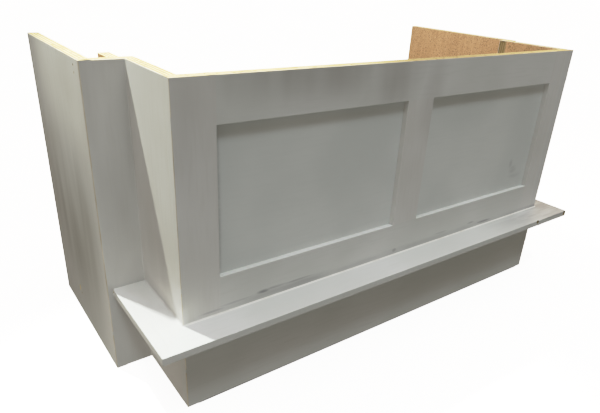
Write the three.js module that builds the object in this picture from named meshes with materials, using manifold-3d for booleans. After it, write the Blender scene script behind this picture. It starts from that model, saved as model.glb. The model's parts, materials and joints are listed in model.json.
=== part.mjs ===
// Wooden range hood cover, 36 in wide: a framed box front on a flat apron, a thin ledge round three sides,
// set-back wings that run to the wall, and the battens, rails and shelf that hold it together inside.
// Units are millimetres. X runs to the right along the front, Y from the front to the wall, Z up.
// Pieces are laid out from the front box's lower left front corner and the whole is then centred on its base.
import * as THREE from "three";
import { mergeVertices } from "three/addons/utils/BufferGeometryUtils.js";
import Module from "manifold-3d";

const wasm = await Module();
wasm.setup();

// Driving dimensions of the cover.
const COVER_HEIGHT = 528.5;
const BOX_WIDTH = 914;
const BOX_DEPTH = 155;
const STEP_WIDTH_LEFT = 64;
const STEP_WIDTH_RIGHT = 19;
const WING_DEPTH = 322;
const BOARD = 19;

// Ledge round the front box.
const LEDGE_TOP = 162.5;
const LEDGE_THICKNESS = 13;
const LEDGE_OVERHANG_FRONT = 55;
const LEDGE_OVERHANG_LEFT = 55;
const LEDGE_OVERHANG_RIGHT = 49;

// Framed front: stiles, rails and the panels that float in their grooves.
const STILE_WIDTH = 63.5;
const CENTRE_STILE_WIDTH = 63;
const RAIL_HEIGHT = 66;
const GROOVE_FROM_FACE = 9.5;
const GROOVE_WIDTH = 6.5;
const GROOVE_DEPTH = 10;
const PANEL_THICKNESS = 6;
const TENON_THICKNESS = 6;
const TONGUE_LENGTH = 9.5;

// Corner return behind the left step panel.
const RETURN_DEPTH = 111;
const RETURN_DROP = 10;

// Rails that meet the wall, let into dadoes in the wings.
const WALL_RAIL_HEIGHT = 64;
const UPPER_RAIL_DROP = 128.5;
const DADO_DEPTH = 9.5;
const DADO_SLACK = 0.25;

// Shelf under which the extractor insert is fixed, and the cleats that it hangs from.
const SHELF_BASE = 40;
const SHELF_THICKNESS = 12;
const SHELF_GAP = 0.5;
const CLEAT = 19;
const CUT_OUT_WIDTH = 722;
const CUT_OUT_DEPTH = 268;
const CUT_OUT_FROM_FRONT = 104;

// Corner battens.
const BATTEN = 19;
const BATTEN_BASE = 80;
const BATTEN_DROP = 48.5;

// Countersunk wood screw.
const SCREW_HEAD_RADIUS = 4;
const SCREW_HEAD_HEIGHT = 2.5;
const SCREW_SHANK_RADIUS = 2;
const SCREW_POINT_LENGTH = 4;
const SCREW_SUNK = 0.5;
const SCREW_CLEARANCE = 0.3;
const SCREW_SIDES = 8;
const SCREW_LENGTH = 28;
const LONG_SCREW_LENGTH = 54;

// How far the screws stand from the ends of the piece that they hold.
const BATTEN_FRONT_SCREW_FROM_BASE = 32;
const BATTEN_FRONT_SCREW_FROM_TOP = 60;
const BATTEN_SIDE_SCREW_FROM_BASE = 52;
const BATTEN_SIDE_SCREW_FROM_TOP = 80;
const RETURN_SCREW_FROM_BASE = 140;
const RETURN_SCREW_FROM_TOP = 160;
const CLEAT_SCREW_FROM_END = 250;
const SIDE_CLEAT_SCREW_FROM_FRONT = 65;
const SIDE_CLEAT_SCREW_FROM_STEP = 30;
const SHELF_SCREW_FROM_END = 200;

// Places that follow from the sizes above.
const WALL_Y = BOX_DEPTH + WING_DEPTH;
const STEP_BACK_Y = BOX_DEPTH + BOARD;
const LEDGE_BASE = LEDGE_TOP - LEDGE_THICKNESS;
const WING_LEFT_X = -STEP_WIDTH_LEFT;
const WING_RIGHT_X = BOX_WIDTH + STEP_WIDTH_RIGHT;
const LEFT_INNER_X = WING_LEFT_X + BOARD;
const RIGHT_INNER_X = WING_RIGHT_X - BOARD;
const BOX_INNER_RIGHT_X = BOX_WIDTH - BOARD;
const RAIL_FACE_Y = WALL_Y - BOARD;
const LOWER_RAIL_BASE = SHELF_BASE;
const UPPER_RAIL_BASE = COVER_HEIGHT - UPPER_RAIL_DROP - WALL_RAIL_HEIGHT;
const BATTEN_TOP = COVER_HEIGHT - BATTEN_DROP;
const CLEAT_BASE = SHELF_BASE + SHELF_THICKNESS;
const PANEL_BASE = LEDGE_TOP + RAIL_HEIGHT;
const PANEL_TOP = COVER_HEIGHT - RAIL_HEIGHT;
const CENTRE_STILE_X = (BOX_WIDTH - CENTRE_STILE_WIDTH) / 2;
const OVERLAP = 1;

// Surfaces as they look from outside; the finer finish is added later.
const paint = new THREE.MeshStandardMaterial({ color: 0xc9c6bd, roughness: 0.45, metalness: 0 });
const rawPly = new THREE.MeshStandardMaterial({ color: 0xb48f63, roughness: 0.85, metalness: 0 });
const pine = new THREE.MeshStandardMaterial({ color: 0xd9bd8b, roughness: 0.8, metalness: 0 });
const zinc = new THREE.MeshStandardMaterial({ color: 0xb9b7a6, roughness: 0.35, metalness: 0.9 });

const cover = new THREE.Group();

// An upright box from its limits along the three axes.
function block([x0, x1], [y0, y1], [z0, z1]) {
  return new THREE.Box3(new THREE.Vector3(x0, y0, z0), new THREE.Vector3(x1, y1, z1));
}

// The closed body of a geometry, for joining and cutting.
function bodyOf(geometry) {
  const bare = geometry.clone();
  bare.deleteAttribute("normal");
  bare.deleteAttribute("uv");
  const merged = mergeVertices(bare, 1e-4);
  const vertProperties = new Float32Array(merged.attributes.position.array);
  const triVerts = new Uint32Array(merged.index.array);
  return new wasm.Manifold(new wasm.Mesh({ numProp: 3, vertProperties, triVerts }));
}

// The body of an upright box, in place.
function blockBody(box) {
  const size = box.getSize(new THREE.Vector3());
  const centre = box.getCenter(new THREE.Vector3());
  const geometry = new THREE.BoxGeometry(size.x, size.y, size.z);
  return bodyOf(geometry.translate(centre.x, centre.y, centre.z));
}

// A body back as a geometry whose origin is at the given point.
function geometryOf(body, origin) {
  const { vertProperties, triVerts } = body.getMesh();
  const geometry = new THREE.BufferGeometry();
  geometry.setAttribute("position", new THREE.BufferAttribute(vertProperties, 3));
  geometry.setIndex(new THREE.BufferAttribute(triVerts, 1));
  geometry.translate(-origin.x, -origin.y, -origin.z);
  geometry.computeVertexNormals();
  return geometry;
}

function addMesh(name, geometry, material, position) {
  const mesh = new THREE.Mesh(geometry, material);
  mesh.name = name;
  mesh.position.copy(position);
  cover.add(mesh);
  return mesh;
}

// A screw's outline from the point to the head, grown by the given clearance.
function screwProfile(length, clearance, headTop) {
  const shank = SCREW_SHANK_RADIUS + clearance;
  const head = SCREW_HEAD_RADIUS + clearance;
  return [
    new THREE.Vector2(0, -length - clearance),
    new THREE.Vector2(shank, -length + SCREW_POINT_LENGTH),
    new THREE.Vector2(shank, -SCREW_HEAD_HEIGHT - clearance),
    new THREE.Vector2(head, -clearance),
    new THREE.Vector2(head, headTop),
    new THREE.Vector2(0, headTop),
  ];
}

// A turned screw shape whose head faces away from the given direction.
function screwGeometry(screw, clearance, headTop) {
  const profile = screwProfile(screw.length, clearance, headTop);
  const geometry = new THREE.LatheGeometry(profile, SCREW_SIDES);
  const turn = new THREE.Quaternion().setFromUnitVectors(new THREE.Vector3(0, -1, 0), screw.into);
  return geometry.applyQuaternion(turn);
}

const INTO_FRONT = new THREE.Vector3(0, -1, 0);
const INTO_WALL = new THREE.Vector3(0, 1, 0);
const INTO_LEFT = new THREE.Vector3(-1, 0, 0);
const INTO_RIGHT = new THREE.Vector3(1, 0, 0);
const INTO_TOP = new THREE.Vector3(0, 0, 1);

// Screws of one name, one for each head position on the surface they are driven from.
function screwRow(name, into, heads, length = SCREW_LENGTH) {
  return heads.map(([x, y, z], index) => ({
    name: `${name}_${index + 1}`,
    into,
    length,
    head: new THREE.Vector3(x, y, z),
  }));
}

// Four screws of a batten: two into the board in front, two into the board beside it.
function battenScrews(name, x, frontHeadY, side, sideHeadX, sideLength = SCREW_LENGTH) {
  const y = frontHeadY - BATTEN / 2;
  const frontZ = [BATTEN_BASE + BATTEN_FRONT_SCREW_FROM_BASE, BATTEN_TOP - BATTEN_FRONT_SCREW_FROM_TOP];
  const sideZ = [BATTEN_BASE + BATTEN_SIDE_SCREW_FROM_BASE, BATTEN_TOP - BATTEN_SIDE_SCREW_FROM_TOP];
  const frontHeads = frontZ.map((z) => [x, frontHeadY, z]);
  const sideHeads = sideZ.map((z) => [sideHeadX, y, z]);
  return [
    ...screwRow(`${name}_front_screw`, INTO_FRONT, frontHeads),
    ...screwRow(`${name}_side_screw`, side, sideHeads, sideLength),
  ];
}

const half = BATTEN / 2;
const frontHeadY = BOARD + BATTEN;
const stepHeadY = STEP_BACK_Y + BATTEN;
const cleatZ = CLEAT_BASE + CLEAT / 2;
const frontCleatY = BOARD + CLEAT / 2;
const rearCleatY = RAIL_FACE_Y - CLEAT / 2;
const rightBattenFaceX = BOX_INNER_RIGHT_X - BATTEN;
const leftCleatFaceX = BOARD + CLEAT;
const rightCleatFaceX = BOX_INNER_RIGHT_X - CLEAT;
const returnScrewZ = [BATTEN_BASE + RETURN_SCREW_FROM_BASE, BATTEN_TOP - RETURN_SCREW_FROM_TOP];
const cleatScrewX = [CLEAT_SCREW_FROM_END, BOX_WIDTH - CLEAT_SCREW_FROM_END];
const sideCleatScrewY = [SIDE_CLEAT_SCREW_FROM_FRONT, BOX_DEPTH - SIDE_CLEAT_SCREW_FROM_STEP];
const shelfScrewX = [SHELF_SCREW_FROM_END, BOX_WIDTH - SHELF_SCREW_FROM_END];
const shelfHeads = [frontCleatY, rearCleatY].flatMap((y) => shelfScrewX.map((x) => [x, y, SHELF_BASE]));

const screws = [
  ...battenScrews("front_left", BOARD + half, frontHeadY, INTO_LEFT, BOARD + BATTEN),
  ...battenScrews("front_right", BOX_INNER_RIGHT_X - half, frontHeadY, INTO_RIGHT, rightBattenFaceX),
  ...battenScrews("step_left", LEFT_INNER_X + half, stepHeadY, INTO_LEFT, 0, LONG_SCREW_LENGTH),
  ...battenScrews("step_right", RIGHT_INNER_X - half, stepHeadY, INTO_RIGHT, RIGHT_INNER_X - BATTEN),
  ...screwRow("return_screw", INTO_LEFT, returnScrewZ.map((z) => [BOARD, STEP_BACK_Y + half, z])),
  ...screwRow("cleat_front_screw", INTO_FRONT, cleatScrewX.map((x) => [x, BOARD + CLEAT, cleatZ])),
  ...screwRow("cleat_rear_screw", INTO_WALL, cleatScrewX.map((x) => [x, RAIL_FACE_Y - CLEAT, cleatZ])),
  ...screwRow("cleat_left_screw", INTO_LEFT, sideCleatScrewY.map((y) => [leftCleatFaceX, y, cleatZ])),
  ...screwRow("cleat_right_screw", INTO_RIGHT, sideCleatScrewY.map((y) => [rightCleatFaceX, y, cleatZ])),
  ...screwRow("shelf_screw", INTO_TOP, shelfHeads),
];

// The drilled and countersunk hole of each screw, ready to cut from the boards that it passes through.
const holes = screws.map((screw) => {
  const geometry = screwGeometry(screw, SCREW_CLEARANCE, SCREW_SUNK + OVERLAP);
  const sunk = screw.head.clone().addScaledVector(screw.into, SCREW_SUNK);
  geometry.translate(sunk.x, sunk.y, sunk.z);
  geometry.computeBoundingBox();
  return { body: bodyOf(geometry), box: geometry.boundingBox };
});

// A board in place, less its grooves and the screw holes that reach it.
function addBoard(name, material, box, { cuts = [], tongues = [] } = {}) {
  let body = blockBody(box);
  for (const tongue of tongues) body = body.add(blockBody(tongue));
  for (const cut of cuts) body = body.subtract(blockBody(cut));
  for (const hole of holes) {
    if (box.intersectsBox(hole.box)) body = body.subtract(hole.body);
  }
  const centre = box.getCenter(new THREE.Vector3());
  return addMesh(name, geometryOf(body, centre), material, centre);
}

const GROOVE_Y = [GROOVE_FROM_FACE, GROOVE_FROM_FACE + GROOVE_WIDTH];
const TENON_SLACK = (GROOVE_WIDTH - TENON_THICKNESS) / 2;
const TENON_Y = [GROOVE_Y[0] + TENON_SLACK, GROOVE_Y[1] - TENON_SLACK];
const PANEL_SLACK = (GROOVE_WIDTH - PANEL_THICKNESS) / 2;
const FRAME_Y = [0, BOARD];
const FRAME_Z = [LEDGE_TOP, COVER_HEIGHT];

// Outer stiles run the full height of the frame, grooved on their inner edge.
function addOuterStile(name, x0, innerEdgeX, inward) {
  const groove = [innerEdgeX - inward * GROOVE_DEPTH, innerEdgeX + inward * OVERLAP].sort((a, b) => a - b);
  const grooveZ = [LEDGE_TOP - OVERLAP, COVER_HEIGHT + OVERLAP];
  addBoard(name, paint, block([x0, x0 + STILE_WIDTH], FRAME_Y, FRAME_Z), {
    cuts: [block(groove, GROOVE_Y, grooveZ)],
  });
}

// Rails run between the outer stiles, tenoned into them and grooved along the panel edge.
function addRail(name, z0, grooveZ) {
  const x0 = STILE_WIDTH;
  const x1 = BOX_WIDTH - STILE_WIDTH;
  const z = [z0, z0 + RAIL_HEIGHT];
  addBoard(name, paint, block([x0, x1], FRAME_Y, z), {
    tongues: [
      block([x0 - TONGUE_LENGTH, x0 + OVERLAP], TENON_Y, z),
      block([x1 - OVERLAP, x1 + TONGUE_LENGTH], TENON_Y, z),
    ],
    cuts: [block([x0 - TONGUE_LENGTH - OVERLAP, x1 + TONGUE_LENGTH + OVERLAP], GROOVE_Y, grooveZ)],
  });
}

// The centre stile stands between the rails, grooved on both edges.
function addCentreStile() {
  const x0 = CENTRE_STILE_X;
  const x1 = x0 + CENTRE_STILE_WIDTH;
  const cutZ = [PANEL_BASE - OVERLAP, PANEL_TOP + OVERLAP];
  const tongueX = [x0 + GROOVE_DEPTH, x1 - GROOVE_DEPTH];
  addBoard("front_stile_centre", paint, block([x0, x1], FRAME_Y, [PANEL_BASE, PANEL_TOP]), {
    cuts: [
      block([x0 - OVERLAP, x0 + GROOVE_DEPTH], GROOVE_Y, cutZ),
      block([x1 - GROOVE_DEPTH, x1 + OVERLAP], GROOVE_Y, cutZ),
    ],
    tongues: [
      block(tongueX, TENON_Y, [PANEL_BASE - TONGUE_LENGTH, PANEL_BASE + OVERLAP]),
      block(tongueX, TENON_Y, [PANEL_TOP - OVERLAP, PANEL_TOP + TONGUE_LENGTH]),
    ],
  });
}

// A recessed panel, held by its margins in the grooves.
function addFrontPanel(name, x0, x1) {
  const y = [GROOVE_Y[0] + PANEL_SLACK, GROOVE_Y[1] - PANEL_SLACK];
  const z = [PANEL_BASE - TONGUE_LENGTH, PANEL_TOP + TONGUE_LENGTH];
  addBoard(name, paint, block([x0 - TONGUE_LENGTH, x1 + TONGUE_LENGTH], y, z));
}

function addFramedFront() {
  const lowerGroove = [PANEL_BASE - GROOVE_DEPTH, PANEL_BASE + OVERLAP];
  const upperGroove = [PANEL_TOP - OVERLAP, PANEL_TOP + GROOVE_DEPTH];
  addOuterStile("front_stile_left", 0, STILE_WIDTH, 1);
  addOuterStile("front_stile_right", BOX_WIDTH - STILE_WIDTH, BOX_WIDTH - STILE_WIDTH, -1);
  addRail("front_rail_bottom", LEDGE_TOP, lowerGroove);
  addRail("front_rail_top", PANEL_TOP, upperGroove);
  addCentreStile();
  addFrontPanel("front_panel_left", STILE_WIDTH, CENTRE_STILE_X);
  addFrontPanel("front_panel_right", CENTRE_STILE_X + CENTRE_STILE_WIDTH, BOX_WIDTH - STILE_WIDTH);
}

// A ledge board cut to its outline, seen from above.
function addLedgeBoard(name, outline) {
  const shape = new THREE.Shape(outline.map(([x, y]) => new THREE.Vector2(x, y)));
  const geometry = new THREE.ExtrudeGeometry(shape, { depth: LEDGE_THICKNESS, bevelEnabled: false });
  addMesh(name, geometry, paint, new THREE.Vector3(0, 0, LEDGE_BASE));
}

// Three ledge boards, mitred at the two front corners; the front one runs in between apron and frame.
function addLedge() {
  const left = -LEDGE_OVERHANG_LEFT;
  const right = BOX_WIDTH + LEDGE_OVERHANG_RIGHT;
  const front = -LEDGE_OVERHANG_FRONT;
  addLedgeBoard("ledge_front", [
    [left, front],
    [right, front],
    [BOX_WIDTH, 0],
    [BOX_WIDTH, BOARD],
    [0, BOARD],
    [0, 0],
  ]);
  addLedgeBoard("ledge_return_left", [
    [left, front],
    [0, 0],
    [0, BOX_DEPTH],
    [left, BOX_DEPTH],
  ]);
  addLedgeBoard("ledge_return_right", [
    [right, front],
    [right, BOX_DEPTH],
    [BOX_WIDTH, BOX_DEPTH],
    [BOX_WIDTH, 0],
  ]);
}

function addBox() {
  const sideY = [BOARD, BOX_DEPTH];
  const fullZ = [0, COVER_HEIGHT];
  addBoard("apron_board", paint, block([0, BOX_WIDTH], FRAME_Y, [0, LEDGE_BASE]));
  addBoard("box_side_left", paint, block([0, BOARD], sideY, fullZ));
  addBoard("box_side_right", paint, block([BOX_INNER_RIGHT_X, BOX_WIDTH], sideY, fullZ));
}

// Step panels close the front of the wings; wings run back to the wall with dadoes for the rails.
function addWings() {
  const stepY = [BOX_DEPTH, STEP_BACK_Y];
  const wingY = [STEP_BACK_Y, WALL_Y];
  const fullZ = [0, COVER_HEIGHT];
  const dadoY = [RAIL_FACE_Y - DADO_SLACK, WALL_Y + OVERLAP];
  const dadoZ = (base) => [base - DADO_SLACK, base + WALL_RAIL_HEIGHT + DADO_SLACK];
  const dadoes = (x0, x1) =>
    [LOWER_RAIL_BASE, UPPER_RAIL_BASE].map((base) => block([x0, x1], dadoY, dadoZ(base)));
  addBoard("step_panel_left", paint, block([WING_LEFT_X, BOARD], stepY, fullZ));
  addBoard("step_panel_right", paint, block([BOX_INNER_RIGHT_X, WING_RIGHT_X], stepY, fullZ));
  addBoard("wing_side_left", paint, block([WING_LEFT_X, LEFT_INNER_X], wingY, fullZ), {
    cuts: dadoes(LEFT_INNER_X - DADO_DEPTH, LEFT_INNER_X + OVERLAP),
  });
  addBoard("wing_side_right", paint, block([RIGHT_INNER_X, WING_RIGHT_X], wingY, fullZ), {
    cuts: dadoes(RIGHT_INNER_X - OVERLAP, RIGHT_INNER_X + DADO_DEPTH),
  });
  addBoard(
    "corner_return_left",
    rawPly,
    block([0, BOARD], [STEP_BACK_Y, STEP_BACK_Y + RETURN_DEPTH], [0, COVER_HEIGHT - RETURN_DROP]),
  );
}

// The two rails that are screwed to the wall, their ends in the dadoes.
function addWallRails() {
  const x = [LEFT_INNER_X - DADO_DEPTH + DADO_SLACK, RIGHT_INNER_X + DADO_DEPTH - DADO_SLACK];
  const y = [RAIL_FACE_Y, WALL_Y];
  addBoard("wall_rail_lower", pine, block(x, y, [LOWER_RAIL_BASE, LOWER_RAIL_BASE + WALL_RAIL_HEIGHT]));
  addBoard("wall_rail_upper", pine, block(x, y, [UPPER_RAIL_BASE, UPPER_RAIL_BASE + WALL_RAIL_HEIGHT]));
}

// Battens in the inner corners; the left step's one fills the gap up to the corner return.
function addCornerBattens() {
  const z = [BATTEN_BASE, BATTEN_TOP];
  const frontY = [BOARD, BOARD + BATTEN];
  const stepY = [STEP_BACK_Y, STEP_BACK_Y + BATTEN];
  addBoard("corner_block_front_left", pine, block([BOARD, BOARD + BATTEN], frontY, z));
  addBoard("corner_block_front_right", pine, block([rightBattenFaceX, BOX_INNER_RIGHT_X], frontY, z));
  addBoard("corner_block_step_left", pine, block([LEFT_INNER_X, 0], stepY, z));
  addBoard("corner_block_step_right", pine, block([RIGHT_INNER_X - BATTEN, RIGHT_INNER_X], stepY, z));
}

// Cleats along the four edges of the shelf, on top of it.
function addShelfCleats() {
  const z = [CLEAT_BASE, CLEAT_BASE + CLEAT];
  const width = [BOARD, BOX_INNER_RIGHT_X];
  const frontY = [BOARD, BOARD + CLEAT];
  const rearY = [RAIL_FACE_Y - CLEAT, RAIL_FACE_Y];
  const sideY = [frontY[1], rearY[0]];
  addBoard("shelf_cleat_front", pine, block(width, frontY, z));
  addBoard("shelf_cleat_rear", pine, block(width, rearY, z));
  addBoard("shelf_cleat_left", pine, block([BOARD, BOARD + CLEAT], sideY, z));
  addBoard("shelf_cleat_right", pine, block([BOX_INNER_RIGHT_X - CLEAT, BOX_INNER_RIGHT_X], sideY, z));
}

// The shelf with its cut-out, a little small all round.
function addShelf() {
  const x = [BOARD + SHELF_GAP, BOX_INNER_RIGHT_X - SHELF_GAP];
  const y = [BOARD + SHELF_GAP, RAIL_FACE_Y - SHELF_GAP];
  const cutX0 = (BOX_WIDTH - CUT_OUT_WIDTH) / 2;
  const cutX = [cutX0, cutX0 + CUT_OUT_WIDTH];
  const cutY = [CUT_OUT_FROM_FRONT, CUT_OUT_FROM_FRONT + CUT_OUT_DEPTH];
  addBoard("insert_shelf", rawPly, block(x, y, [SHELF_BASE, CLEAT_BASE]), {
    cuts: [block(cutX, cutY, [SHELF_BASE - OVERLAP, CLEAT_BASE + OVERLAP])],
  });
}

function addScrews() {
  for (const screw of screws) {
    const at = screw.head.clone().addScaledVector(screw.into, SCREW_SUNK);
    addMesh(screw.name, screwGeometry(screw, 0, 0), zinc, at);
  }
}

addFramedFront();
addLedge();
addBox();
addWings();
addWallRails();
addCornerBattens();
addShelfCleats();
addShelf();
addScrews();

// Centre of the overall width and depth, so that the base stands round the origin.
const widthCentre = (WING_LEFT_X + BOX_WIDTH + LEDGE_OVERHANG_RIGHT) / 2;
const depthCentre = (WALL_Y - LEDGE_OVERHANG_FRONT) / 2;
cover.position.set(-widthCentre, -depthCentre, 0);

const rangeHoodCover = new THREE.Group();
rangeHoodCover.add(cover);

export default rangeHoodCover;
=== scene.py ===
"""Looks of a painted wooden range hood cover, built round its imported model.

The cover is a workshop-built carcass of 19 mm plywood: sprayed satin off-white on its show faces,
raw inside and along its rim. Every board keeps the place and size of its node. The copies made here
get eased arrises, a finish for each kind of surface, caulk in the inner corners and real screw heads.
"""

import json
import logging
import math
from collections.abc import Callable
from dataclasses import dataclass, field
from enum import Enum

import bmesh
import bpy
from mathutils import Matrix, Vector

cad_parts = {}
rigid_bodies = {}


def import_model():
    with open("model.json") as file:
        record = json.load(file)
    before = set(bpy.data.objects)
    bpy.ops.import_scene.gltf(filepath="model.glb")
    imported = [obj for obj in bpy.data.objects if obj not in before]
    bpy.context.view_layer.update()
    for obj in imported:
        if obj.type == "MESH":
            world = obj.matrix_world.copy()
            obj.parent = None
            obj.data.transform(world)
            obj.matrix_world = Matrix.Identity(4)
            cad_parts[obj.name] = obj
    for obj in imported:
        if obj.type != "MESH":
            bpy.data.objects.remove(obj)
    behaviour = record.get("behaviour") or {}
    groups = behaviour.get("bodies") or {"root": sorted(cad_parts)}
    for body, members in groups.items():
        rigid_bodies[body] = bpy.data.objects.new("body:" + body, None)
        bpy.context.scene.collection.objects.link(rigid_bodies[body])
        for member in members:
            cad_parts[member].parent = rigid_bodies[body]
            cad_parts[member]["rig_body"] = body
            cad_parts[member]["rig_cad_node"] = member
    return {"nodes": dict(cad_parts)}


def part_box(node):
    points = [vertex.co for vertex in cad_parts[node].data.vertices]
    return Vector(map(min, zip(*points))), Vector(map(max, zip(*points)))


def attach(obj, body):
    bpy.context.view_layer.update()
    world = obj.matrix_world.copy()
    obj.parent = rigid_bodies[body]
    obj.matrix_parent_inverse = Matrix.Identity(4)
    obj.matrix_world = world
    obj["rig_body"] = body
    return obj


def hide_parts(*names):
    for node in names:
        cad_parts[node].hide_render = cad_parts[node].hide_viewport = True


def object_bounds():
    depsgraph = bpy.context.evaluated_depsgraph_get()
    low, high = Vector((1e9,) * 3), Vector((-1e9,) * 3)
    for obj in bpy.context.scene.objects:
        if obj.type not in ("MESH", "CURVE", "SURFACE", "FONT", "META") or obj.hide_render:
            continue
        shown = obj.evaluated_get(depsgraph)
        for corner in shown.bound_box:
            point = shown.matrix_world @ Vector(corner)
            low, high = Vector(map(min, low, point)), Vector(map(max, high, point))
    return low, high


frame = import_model()
CAD_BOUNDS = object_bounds()

LOG = logging.getLogger("hood_cover")
MM = 0.001
BODY = "root"

Triple = tuple[float, float, float]
Box = tuple[Vector, Vector]
Edge = bmesh.types.BMEdge
Piece = bpy.types.Object
Material = bpy.types.Material
Socket = bpy.types.NodeSocket


class Axis(Enum):
    """Directions in which a face of a board can point."""

    LEFT = (-1, 0, 0)
    RIGHT = (1, 0, 0)
    FRONT = (0, -1, 0)
    BACK = (0, 1, 0)
    UP = (0, 0, 1)
    DOWN = (0, 0, -1)

    @property
    def vector(self) -> Vector:
        """The direction as a vector."""
        return Vector(self.value)


class Surface(Enum):
    """Kinds of surface on a board, in the order of its material slots."""

    FACE = 0
    PAINT = 1
    RIM = 2
    END = 3
    ARRIS = 4


# ----------------------------------------
# Colours and shader nodes

PLAIN = (1.0, 1.0, 1.0)
SMOOTH = {"interpolation_type": "SMOOTHSTEP"}

# Settings, inputs and output of a mix of two colours. Its inputs go by number, as names repeat.
COLOURS = {"data_type": "RGBA"}
SHARE = 0
UNDER = 6
OVER = 7
MIXED = 2


def linear(hex_colour: str, alpha: float = 1.0) -> tuple[float, float, float, float]:
    """Turns an sRGB hex colour to the linear values that the shaders take.

    Args:
        hex_colour: Six hex digits, such as "c8c4ba".
        alpha: Opacity of the colour.

    Returns:
        Linear red, green, blue and alpha.
    """
    channels = [int(hex_colour[i : i + 2], 16) / 255 for i in (0, 2, 4)]
    lin = [c / 12.92 if c <= 0.04045 else ((c + 0.055) / 1.055) ** 2.4 for c in channels]
    return (lin[0], lin[1], lin[2], alpha)


def add_node(
    tree: bpy.types.NodeTree, kind: str, settings: dict, inputs: dict | None = None
) -> bpy.types.Node:
    """Adds one shader node with its settings and inputs.

    Args:
        tree: Node tree that takes the node.
        kind: Blender's node type name.
        settings: Attribute names with their values.
        inputs: Input names or numbers, each with the socket that feeds it or with a plain value.

    Returns:
        The new node.
    """
    node = tree.nodes.new(kind)
    for key, value in settings.items():
        setattr(node, key, value)
    for key, value in (inputs or {}).items():
        if isinstance(value, Socket):
            tree.links.new(value, node.inputs[key])
        else:
            node.inputs[key].default_value = value
    return node


def drawn_out(axis: int, share: float) -> Triple:
    """Scale of coordinates on which a pattern is drawn out along one axis."""
    return tuple(share if i == axis else 1.0 for i in range(3))


@dataclass(frozen=True)
class Pattern:
    """Irregular patches that many metres across, with octaves of finer detail.

    They come from a noise that is about 0.5 on average: while it goes from low to high, the
    patches climb smoothly from least to most.
    """

    size: float
    detail: float
    low: float
    high: float
    most: float = 1.0
    least: float = 0.0


@dataclass(frozen=True)
class Relief:
    """An uneven surface: bumps of a size and a height in metres, with octaves of finer detail."""

    size: float
    detail: float
    height: float


class Shader:
    """A material under construction, with the steps that the finishes share."""

    def __init__(self, name: str) -> None:
        """Starts an empty material.

        Args:
            name: Name of the material.
        """
        self.material = bpy.data.materials.new(name)
        self.material.use_nodes = True
        self.tree = self.material.node_tree
        self.tree.nodes.clear()
        self.place = self.add("ShaderNodeTexCoord", {}).outputs["Object"]

    def add(self, kind: str, settings: dict, inputs: dict | None = None) -> bpy.types.Node:
        """Adds a node to this material."""
        return add_node(self.tree, kind, settings, inputs)

    def unevenness(self, size: float, detail: float, stretch: Triple) -> Socket:
        """A noise on the piece's own coordinates, drawn out along the axes of a small stretch.

        Args:
            size: How many metres its blotches are across where the stretch is 1.
            detail: Octaves of finer noise.
            stretch: Scale of the coordinates along each axis.

        Returns:
            The noise's value.
        """
        scaled = self.add("ShaderNodeMapping", {}, {"Vector": self.place, "Scale": stretch})
        inputs = {"Vector": scaled.outputs["Vector"], "Scale": 1 / size, "Detail": detail}
        return self.add("ShaderNodeTexNoise", {}, inputs).outputs["Fac"]

    def patches(self, pattern: Pattern, stretch: Triple = PLAIN) -> Socket:
        """The patches of a pattern.

        Args:
            pattern: The pattern.
            stretch: Scale of the coordinates along each axis.

        Returns:
            Their value, from the pattern's least to its most.
        """
        inputs = {
            "Value": self.unevenness(pattern.size, pattern.detail, stretch),
            "From Min": pattern.low,
            "From Max": pattern.high,
            "To Min": pattern.least,
            "To Max": pattern.most,
        }
        return self.add("ShaderNodeMapRange", SMOOTH, inputs).outputs[0]

    def lay(
        self, under: Socket | str, over: str, pattern: Pattern, stretch: Triple = PLAIN
    ) -> Socket:
        """Lays patches of a second colour over a first.

        Args:
            under: First colour, in hex digits or already mixed.
            over: Second colour, in hex digits.
            pattern: Where the second colour shows.
            stretch: Scale of the pattern's coordinates along each axis.

        Returns:
            The mixed colour.
        """
        first = linear(under) if isinstance(under, str) else under
        inputs = {SHARE: self.patches(pattern, stretch), UNDER: first, OVER: linear(over)}
        return self.add("ShaderNodeMix", COLOURS, inputs).outputs[MIXED]

    def roughen(
        self, relief: Relief, stretch: Triple = PLAIN, under: Socket | None = None
    ) -> Socket:
        """Makes the surface uneven.

        Args:
            relief: The bumps.
            stretch: Scale of their coordinates along each axis.
            under: Normal of a coarser relief on which this one lies.

        Returns:
            The normal of the uneven surface.
        """
        height = self.unevenness(relief.size, relief.detail, stretch)
        inputs = {"Height": height, "Distance": relief.height, "Strength": 1.0}
        if under is not None:
            inputs["Normal"] = under
        return self.add("ShaderNodeBump", {}, inputs).outputs["Normal"]

    def finish(self, inputs: dict) -> Material:
        """Closes the material with its one surface shader.

        Args:
            inputs: Inputs of the surface shader.

        Returns:
            The finished material.
        """
        shader = self.add("ShaderNodeBsdfPrincipled", {}, inputs)
        self.add("ShaderNodeOutputMaterial", {}, {"Surface": shader.outputs["BSDF"]})
        return self.material


# ----------------------------------------
# Finishes


@dataclass(frozen=True)
class ScuffAndShade:
    """A grey patch on the lacquer, for scuffs and for painted shade: its middle and its half sizes in
    metres, and its core's strength.
    """

    middle: Triple
    reach: Triple
    strength: float
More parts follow.
